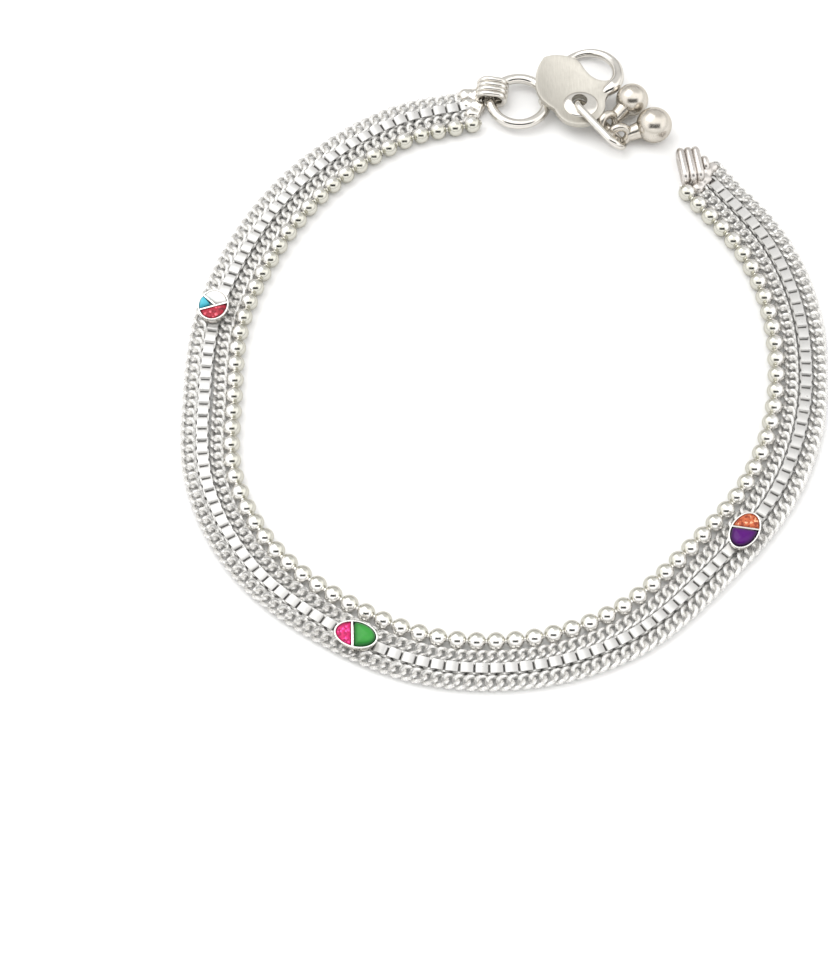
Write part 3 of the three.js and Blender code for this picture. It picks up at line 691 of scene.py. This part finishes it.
def end_plate(end, corners):
    """A thick plate with rounded edges, drawn by its corners: distance past the row's end, and offset."""
    bpy.ops.mesh.primitive_circle_add(vertices=len(corners), radius=1)
    plate = bpy.context.object
    for corner, (reach, offset) in zip(plate.data.vertices, corners):
        corner.co = past_end(end, reach, offset)
    bpy.ops.object.mode_set(mode="EDIT")
    bpy.ops.mesh.select_all(action="SELECT")
    bpy.ops.mesh.edge_face_add()
    bpy.ops.mesh.extrude_region_move(TRANSFORM_OT_translate={"value": (0, 0, PLATE_HEIGHT)})
    bpy.ops.mesh.select_all(action="SELECT")
    bpy.ops.mesh.normals_make_consistent(inside=False)
    bpy.ops.object.mode_set(mode="OBJECT")
    limit = math.radians(30)
    return applied(plate, "BEVEL", width=PLATE_ROUND, segments=4, limit_method="ANGLE", angle_limit=limit)


def solder_joint(plate, end, lumps):
    """A plate run over with solder: lumps given by distance past the row's end, offset, radius and height.

    Plate and lumps flow into one, and what would hang below the table is cut off.
    """
    blobs = []
    for reach, offset, radius, height in lumps:
        bpy.ops.object.select_all(action="DESELECT")
        place = past_end(end, reach, offset, height)
        bpy.ops.mesh.primitive_uv_sphere_add(segments=20, ring_count=12, radius=radius, location=place)
        blobs.append(bpy.context.object)
    joint = joined([plate] + blobs)
    applied(joint, "REMESH", mode="VOXEL", voxel_size=SOLDER_GRAIN)
    applied(joint, "SMOOTH", factor=0.6, iterations=SOLDER_FLOW)
    cut_away(joint, (0, 0, 0), -UP)
    return joint


left_plate = end_plate("left", [
    (0.1, 1.5), (0.1, 7.3), (1.4, 7.2), (2.9, 6.8), (2.9, 3.2), (1.6, 1.5),
])
left_plate = solder_joint(left_plate, "left", [
    (0.5, 2.6, 1.15, 0.7), (0.4, 4.4, 1.3, 0.7), (0.6, 6.3, 1.25, 0.6),
    (1.9, 3.7, 1.3, 0.7), (2.3, 5.6, 1.45, 0.65),
])
coil = wire_turns(
    COIL_TURNS, COIL_LENGTH, COIL_HEIGHT, COIL_WIRE, COIL_PITCH, COIL_PLACE, COIL_HEADING, lean=0.02)
left_end = settled(
    joined([left_plate, coil]), "left_end_wires", silver("coil_silver", **WORN_WIRE, rough=WIRE_ROUGH))
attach(left_end, "root")
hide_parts("left_end_coil")

# The large ring.
# A closed ring of thick round wire that hangs in the coil and carries the clasp.
ring_low, ring_high = (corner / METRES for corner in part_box("large_ring"))
RING_WIRE = 1.6
RING_STEPS = 96
RING_SIDES = 20
bpy.ops.object.select_all(action="DESELECT")
bpy.ops.mesh.primitive_torus_add(
    major_segments=RING_STEPS, minor_segments=RING_SIDES, minor_radius=RING_WIRE / 2,
    major_radius=(ring_high.x - ring_low.x - RING_WIRE) / 2, location=(ring_low + ring_high) / 2)
clasp_ring = settled(bpy.context.object, "clasp_ring", silver("ring_silver", **WORN_WIRE, rough=WIRE_ROUGH))
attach(clasp_ring, "root")
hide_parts("large_ring")

# The hook clasp.
# A leaf of thick silver sheet with a raised edge, a matt face and a low dome round its hole. A hook of round
# wire is soldered to its tip, curls back over the top and thins to its end. A small eye below holds the ring.
HOOK_PLACE = Vector((7.558, 46.406, 0))
LEAF_LENGTH = 13.0
LEAF_WIDTH = 13.4
LEAF_CORNER = Vector((-0.6, 0.35, 0))
LEAF_BOTTOM = 2.55
LEAF_THICKNESS = 0.9
LEAF_ROUND = 0.2
LEAF_BORDER = 0.5
LEAF_STEP = 0.16
LEAF_SINK = 0.1
HOLE_PLACE = (4.99, -1.258)
HOLE_DIAMETER = 2.5
LOBE_RADIUS = 4.1
LOBE_DROP = 0.3
LOBE_FROM = 200
LOBE_SWEEP = 165
LOBE_STEPS = 24
DOME_SHIFT = Vector((0.2, -0.5, -0.12))
DOME_RADIUS = 2.8
DOME_WIDTH = 0.88
DOME_HEIGHT = 0.6
DOME_ROUND = 0.1
SHARP_CORNER = math.radians(40)
BRUSH_SCALE = (4200, 600, 900)
BRUSH_TURN = 0.25
CLOUD_SIZE = 2.6
SCUFF_SIZE = 0.5


def leaf_point(x, y):
    """A point of the leaf, from shares of its length and width."""
    return Vector((x * LEAF_LENGTH, y * LEAF_WIDTH, 0)) + LEAF_CORNER


def curve_to(points, handles, end, steps=10):
    """Adds the points of a curve from the last point to an end point, pulled towards one or two handles."""
    pull = [points[-1]] + [leaf_point(*handle) for handle in handles] + [leaf_point(*end)]
    for i in range(1, steps + 1):
        row = pull
        while len(row) > 1:
            row = [a.lerp(b, i / steps) for a, b in zip(row, row[1:])]
        points.append(row[0])


def leaf_outline():
    """The leaf's outline: broad end, round lobe with the hole, tip, and the hollow beside the hook."""
    points = [leaf_point(0.01, 0.53)]
    curve_to(points, [(-0.12, 0.35), (-0.17, 0.03)], (0.03, -0.15))
    points.append(leaf_point(0.13, -0.23))
    for i in range(LOBE_STEPS + 1):
        turn = math.radians(LOBE_FROM + LOBE_SWEEP * i / LOBE_STEPS)
        lobe = Vector((HOLE_PLACE[0], HOLE_PLACE[1] - LOBE_DROP, 0))
        points.append(lobe + LOBE_RADIUS * Vector((math.cos(turn), math.sin(turn), 0)))
    curve_to(points, [(0.75, -0.02), (0.83, 0.05)], (0.9, 0.15))
    points.append(leaf_point(0.87, 0.22))
    curve_to(points, [(0.68, 0.12), (0.55, 0.25)], (0.47, 0.42))
    curve_to(points, [(0.43, 0.5)], (0.35, 0.53), 4)
    curve_to(points, [(0.24, 0.57), (0.1, 0.58)], (0.01, 0.53))
    return points[:-1]


outline = leaf_outline()
bpy.ops.mesh.primitive_circle_add(vertices=len(outline), radius=1)
leaf = bpy.context.object
for corner, point in zip(leaf.data.vertices, outline):
    corner.co = point + HOOK_PLACE + UP * LEAF_BOTTOM
bpy.ops.object.mode_set(mode="EDIT")
bpy.ops.mesh.select_all(action="SELECT")
bpy.ops.mesh.edge_face_add()
bpy.ops.mesh.extrude_region_move(TRANSFORM_OT_translate={"value": (0, 0, LEAF_THICKNESS)})
bpy.ops.mesh.select_all(action="SELECT")
bpy.ops.mesh.normals_make_consistent(inside=False)
pick(leaf, "FACE", lambda face: face.normal.z > FACING)
bpy.ops.mesh.inset(thickness=LEAF_BORDER, depth=0.0)
bpy.ops.mesh.inset(thickness=LEAF_STEP, depth=-LEAF_SINK)
bpy.ops.object.mode_set(mode="OBJECT")
bpy.ops.object.select_all(action="DESELECT")
drill_place = HOOK_PLACE + Vector((*HOLE_PLACE, LEAF_BOTTOM))
bpy.ops.mesh.primitive_cylinder_add(vertices=40, radius=HOLE_DIAMETER / 2, depth=6, location=drill_place)
drill = bpy.context.object
applied(leaf, "BOOLEAN", operation="DIFFERENCE", object=drill, solver="EXACT")
dome_place = HOOK_PLACE + Vector((*HOLE_PLACE, LEAF_BOTTOM + LEAF_THICKNESS)) + DOME_SHIFT
bpy.ops.object.select_all(action="DESELECT")
bpy.ops.mesh.primitive_uv_sphere_add(segments=64, ring_count=48, radius=DOME_RADIUS, location=dome_place)
dome = bpy.context.object
bpy.ops.object.transform_apply(location=True, rotation=True, scale=True)
bpy.ops.object.mode_set(mode="EDIT")
bpy.ops.mesh.select_all(action="SELECT")
bpy.ops.transform.resize(value=(1, DOME_WIDTH, DOME_HEIGHT / DOME_RADIUS), center_override=dome_place)
bpy.ops.object.mode_set(mode="OBJECT")
cut_away(dome, dome_place, -UP)
applied(dome, "BOOLEAN", operation="DIFFERENCE", object=drill, solver="EXACT")
applied(dome, "BEVEL", width=DOME_ROUND, segments=3, limit_method="ANGLE", angle_limit=SHARP_CORNER)
bpy.data.objects.remove(drill)
applied(leaf, "BEVEL", width=LEAF_ROUND, segments=3, limit_method="ANGLE", angle_limit=SHARP_CORNER)

# Of each point of the hook: its place on the leaf, its height as a share, and the wire's radius.
HOOK_STATIONS = [
    (0.74, 0.03, 0.9, 0.72), (0.79, 0.07, 1.0, 0.98), (0.85, 0.12, 1.05, 1.12), (0.905, 0.22, 0.98, 1.02),
    (0.92, 0.31, 0.9, 0.9), (0.89, 0.49, 0.65, 0.82), (0.76, 0.65, 0.38, 0.74), (0.59, 0.72, 0.15, 0.68),
    (0.43, 0.70, 0.02, 0.62), (0.29, 0.61, 0.0, 0.6), (0.21, 0.49, 0.0, 0.56),
]
HOOK_LOW = 0.825
HOOK_HIGH = 3.0
HOOK_STEPS = 90
HOOK_SIDES = 20
EYELET_RADIUS = 1.15
EYELET_WIRE = 0.7
EYELET_HEIGHT = 1.75


def drawn_wire(points, radii, steps, sides):
    """A wire drawn through points, with its own thickness at each, and closed ends."""
    line = smooth_line(points, steps)
    stations = np.linspace(0, 1, len(radii))
    curve = bpy.data.curves.new("wire", "CURVE")
    curve.dimensions = "3D"
    curve.bevel_depth = 1.0
    curve.bevel_resolution = sides // 4
    curve.use_fill_caps = True
    spline = curve.splines.new("POLY")
    spline.points.add(steps)
    for i, (knot, point) in enumerate(zip(spline.points, line)):
        knot.co = (*point, 1.0)
        knot.radius = float(np.interp(i / steps, stations, radii))
    wire = bpy.data.objects.new("wire", curve)
    bpy.context.collection.objects.link(wire)
    alone(wire)
    bpy.ops.object.convert(target="MESH")
    return bpy.context.object


hook_points = []
for x, y, rise, _ in HOOK_STATIONS:
    hook_points.append(HOOK_PLACE + leaf_point(x, y) + UP * (HOOK_LOW + rise * (HOOK_HIGH - HOOK_LOW)))
hook = drawn_wire(hook_points, [station[3] for station in HOOK_STATIONS], HOOK_STEPS, HOOK_SIDES)
bpy.ops.object.select_all(action="DESELECT")
bpy.ops.mesh.primitive_torus_add(
    major_segments=32, minor_segments=10, major_radius=EYELET_RADIUS, minor_radius=EYELET_WIRE / 2,
    location=HOOK_PLACE + UP * EYELET_HEIGHT, rotation=(math.pi / 2, 0, 0))
eyelet = bpy.context.object


def matt_silver(name):
    """Silver whose face is pickled white: dull, faintly brushed one way, with small scuffs."""
    material, finish, shader = new_finish(name)
    place = finish.node("ShaderNodeTexCoord", output=3)
    stretch = {"Vector": place, "Scale": BRUSH_SCALE, "Rotation": (0, 0, BRUSH_TURN)}
    brushed = finish.node("ShaderNodeMapping", {}, stretch)
    strokes = finish.node("ShaderNodeTexNoise", {}, {"Vector": brushed, "Scale": 1.0, "Detail": 3.0})
    clouds = finish.noise(CLOUD_SIZE, 3.0)
    scuffs = finish.noise(SCUFF_SIZE, 5.0)
    tone = finish.between(clouds * 0.5 + strokes * 0.5, (0.68, 0.655, 0.60), (0.46, 0.44, 0.395))
    finish.join(tone, shader["Base Color"])
    finish.join(strokes * 0.16 + scuffs * 0.1 + 0.44, shader["Roughness"])
    finish.join(finish.bump(strokes + scuffs * 0.6, 0.03, 0.8), shader["Normal"])
    shader["Metallic"].default_value = 0.92
    shader["Specular Tint"].default_value = SILVER_EDGE
    return material


clasp_leaf = settled(leaf, "clasp_leaf", matt_silver("leaf_silver"), angle=40)
clasp_hook = settled(
    joined([hook, eyelet, dome]), "clasp_hook", silver("hook_silver", **WORN_WIRE, rough=WIRE_ROUGH))
for piece in (clasp_leaf, clasp_hook):
    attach(piece, "root")
    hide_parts("hook_clasp")

# The link and the two bells.
# A long link of bent wire runs through the hole of the leaf. Two hollow round bells hang from its lower wire,
# each on an eye of thick wire with a short stem, and lie on the table beside it.
LINK_PLACE = Vector((12.548, 45.148, 3.0))
LINK_ALONG = Vector((0.6289, -0.7760, -0.0485))
LINK_UP = Vector((-0.4971, -0.4493, 0.7422))
LINK_LENGTH = 10.3
LINK_HALF = 1.8
LINK_WIRE = 1.2
BELLS = {
    "one": dict(centre=(21.007, 46.101, 2.6), wire=(16.943, 41.638, 1.394), diameter=5.2),
    "two": dict(centre=(24.302, 41.027, 2.85), wire=(18.564, 39.639, 1.269), diameter=5.7),
}
EYE_RADIUS = 1.45
EYE_WIRE = 1.35
EYE_SLACK = 0.3
EYE_LIFT = 0.68
EYE_TILT = math.radians(34)
STEM_RADII = (1.15, 1.7)
BELL_SILVER = dict(bright=(0.70, 0.66, 0.60), dull=(0.52, 0.485, 0.43), smooth=0.16, rough=0.34)


def frame_of(along, up, place):
    """A place whose x runs along the first direction and whose z is the second."""
    side = up.cross(along)
    turn = Matrix((along, side, up)).transposed().to_4x4()
    return Matrix.Translation(place) @ turn


loop = stretched_ring(LINK_LENGTH + LINK_WIRE, 2 * LINK_HALF + LINK_WIRE, LINK_WIRE, steps=56, sides=16)
link_frame = frame_of(LINK_ALONG, LINK_UP, LINK_PLACE + LINK_ALONG * LINK_LENGTH / 2)
loop.matrix_world = link_frame @ Matrix.Rotation(math.pi / 2, 4, "X")
bell_loop = settled(loop, "bell_loop", silver("link_silver", **WORN_WIRE, rough=0.2))
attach(bell_loop, "root")
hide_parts("bell_link")

for number, plan in BELLS.items():
    centre, wire, radius = Vector(plan["centre"]), Vector(plan["wire"]), plan["diameter"] / 2
    towards, distance = (centre - wire).normalized(), (centre - wire).length
    tilted = LINK_ALONG * math.cos(EYE_TILT) + LINK_UP * math.sin(EYE_TILT)
    across = (tilted - towards * tilted.dot(towards)).normalized()
    bell_frame, turn = frame_of(towards, across, wire), Matrix.Rotation(math.pi / 2, 4, "Y")
    bpy.ops.object.select_all(action="DESELECT")
    bpy.ops.mesh.primitive_torus_add(
        major_segments=40, minor_segments=12, major_radius=EYE_RADIUS, minor_radius=EYE_WIRE / 2)
    eye = bpy.context.object
    eye.matrix_world = Matrix.Translation((0, 0, EYE_LIFT)) @ bell_frame @ Matrix.Translation((EYE_SLACK, 0, 0))
    start = EYE_SLACK + EYE_RADIUS
    reach = distance - start
    bpy.ops.object.select_all(action="DESELECT")
    bpy.ops.mesh.primitive_cone_add(vertices=24, radius1=STEM_RADII[0], radius2=STEM_RADII[1], depth=reach)
    stem = bpy.context.object
    stem.matrix_world = bell_frame @ Matrix.Translation((start + reach / 2, 0, 0)) @ turn
    bpy.ops.object.select_all(action="DESELECT")
    bpy.ops.mesh.primitive_uv_sphere_add(segments=48, ring_count=32, radius=radius)
    shell = bpy.context.object
    shell.matrix_world = bell_frame @ Matrix.Translation((distance, 0, 0)) @ turn
    bell_finish = silver(f"bell_{number}_silver", **BELL_SILVER)
    bell = settled(joined([shell, stem, eye]), f"{number}_bell", bell_finish)
    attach(bell, "root")
    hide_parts(f"bell_{number}")

# The right end of the band.
# The strands end in a second soldered plate, and three long loops of thick wire stand on it as the catch for
# the hook. A smaller loop is soldered to their side.
CATCH_LOOPS = 3
CATCH_LENGTH = 6.6
CATCH_HEIGHT = 3.1
CATCH_WIRE = 1.25
CATCH_PITCH = 1.2
SIDE_LENGTH = 3.0
SIDE_HEIGHT = 2.7
SIDE_WIRE = 1.1
CATCH_PLACE = Vector((29.872, 34.091, 0))
CATCH_HEADING = math.radians(98)
CATCH_SILVER = dict(bright=(0.76, 0.73, 0.70), dull=(0.56, 0.53, 0.51), smooth=0.2, rough=0.38)
right_plate = end_plate("right", [
    (-0.8, 1.5), (-0.8, 3.3), (-0.5, 3.3), (-0.5, 5.1), (1.2, 5.1), (1.2, 7.4), (2.0, 7.4), (2.4, 5.1),
    (0.6, 1.5),
])
right_plate = solder_joint(right_plate, "right", [
    (-0.1, 2.3, 1.1, 0.7), (0.6, 3.9, 1.35, 0.65), (1.5, 5.2, 1.3, 0.7), (1.7, 6.7, 1.0, 0.65),
])
catch_loops = wire_turns(
    CATCH_LOOPS, CATCH_LENGTH, CATCH_HEIGHT, CATCH_WIRE, CATCH_PITCH, CATCH_PLACE.xy, CATCH_HEADING,
    lean=0.01)
sideways = Vector((math.sin(CATCH_HEADING), -math.cos(CATCH_HEADING))) * 2 * CATCH_PITCH
side_loop = wire_turns(1, SIDE_LENGTH, SIDE_HEIGHT, SIDE_WIRE, 0, CATCH_PLACE.xy + sideways, CATCH_HEADING)
right_end = settled(
    joined([right_plate, catch_loops, side_loop]), "right_end_wires", silver("catch_silver", **CATCH_SILVER))
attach(right_end, "root")
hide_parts("right_end_catch")

# The table and the light.
# The anklet lies on a plain white table in a light tent: white all round, a softer grey behind, and the dark
# slot that the camera looks through. A large soft lamp stands at the upper left.
TABLE_SIZE = 6.0
TABLE_DROP = 0.00002
TABLE_BRIGHT = (0.95, 0.95, 0.95)
TABLE_DULL = (0.93, 0.93, 0.93)
TABLE_ROUGH = 0.7
bpy.ops.object.select_all(action="DESELECT")
bpy.ops.mesh.primitive_plane_add(size=TABLE_SIZE, location=(0, 0, -TABLE_DROP))
table = bpy.context.object
table.name = "table"
material, finish, shader = new_finish("table_white")
finish.join(finish.between(finish.noise(30.0), TABLE_BRIGHT, TABLE_DULL), shader["Base Color"])
shader["Roughness"].default_value = TABLE_ROUGH
table.data.materials.append(material)

TENT_BRIGHT = 1.65
TENT_BACK = 0.9
TENT_HORIZON = 0.58
TENT_COLOUR = (1.0, 0.995, 0.985, 1.0)
HORIZON_RISE = (0.0, 0.5)
BACK_DEPTH = (0.1, 0.42)
BACK_SIDES = (0.5, 0.9)
SLOT_DARK = 0.04
SLOT_HEIGHT = math.radians(47)
SLOT_EDGES = (0.2, 0.3)
SLOT_ENDS = (0.5, 0.7)
SLOT_DEPTH = (0.1, 0.3)
LAMP_PLACE = (-0.25, 0.25, 0.55)
LAMP_SIZE = 0.5
LAMP_ENERGY = 1.3

world = bpy.data.worlds.new("tent")
bpy.context.scene.world = world
world.use_nodes = True
tent = Finish(world.node_tree)
way = tent.node("ShaderNodeTexCoord", output=0)
side_way = tent.node("ShaderNodeSeparateXYZ", {}, {0: way}, 0)
back_way = tent.node("ShaderNodeSeparateXYZ", {}, {0: way}, 1)
up_way = tent.node("ShaderNodeSeparateXYZ", {}, {0: way}, 2)


def soft_step(signal, low, high):
    """Rises from 0 to 1 as the signal goes from low to high."""
    values = {"Value": signal, "From Min": low, "From Max": high}
    return tent.node("ShaderNodeMapRange", {"interpolation_type": "SMOOTHSTEP"}, values)


def distance_from(signal):
    """How far the signal is from zero, either way."""
    return tent.node("ShaderNodeMath", {"operation": "ABSOLUTE"}, {0: signal})


back = soft_step(back_way, *BACK_DEPTH) * (1 - soft_step(distance_from(side_way), *BACK_SIDES))
slot_up = up_way * math.cos(SLOT_HEIGHT) + back_way * math.sin(SLOT_HEIGHT)
slot = 1 - soft_step(distance_from(slot_up), *SLOT_EDGES)
slot = slot * (1 - soft_step(distance_from(side_way), *SLOT_ENDS)) * soft_step(0 - back_way, *SLOT_DEPTH)
brightness = TENT_BRIGHT - back * (TENT_BRIGHT - TENT_BACK)
brightness = brightness * (soft_step(up_way, *HORIZON_RISE) * (1 - TENT_HORIZON) + TENT_HORIZON)
brightness = brightness * (1 - slot) + slot * SLOT_DARK
sky = world.node_tree.nodes["Background"]
tent.join(brightness, sky.inputs["Strength"])
sky.inputs["Color"].default_value = TENT_COLOUR

bpy.ops.object.light_add(type="AREA", location=LAMP_PLACE)
lamp = bpy.context.object
lamp.name = "soft_lamp"
lamp.data.size = LAMP_SIZE
lamp.data.energy = LAMP_ENERGY
lamp.rotation_euler = (Vector((0, 0, 0)) - lamp.location).to_track_quat("-Z", "Y").to_euler()

# The camera.
# It looks down on the anklet from the front, through the slot of the light tent.
CAMERA_HEIGHT = math.radians(61)
CAMERA_DISTANCE = 0.4845
AIM = Vector((-0.013804, -0.022669, 0))
camera_data = bpy.data.cameras.new("camera")
camera = bpy.data.objects.new("camera", camera_data)
bpy.context.collection.objects.link(camera)
camera_data.lens = 120
camera_data.sensor_width = 36
camera_data.clip_start = 0.01
away = Vector((0, -math.cos(CAMERA_HEIGHT), math.sin(CAMERA_HEIGHT)))
camera.location = AIM + away * CAMERA_DISTANCE
camera.rotation_euler = (-away).to_track_quat("-Z", "Y").to_euler()
bpy.context.scene.camera = camera
bpy.context.scene.view_settings.view_transform = "Standard"
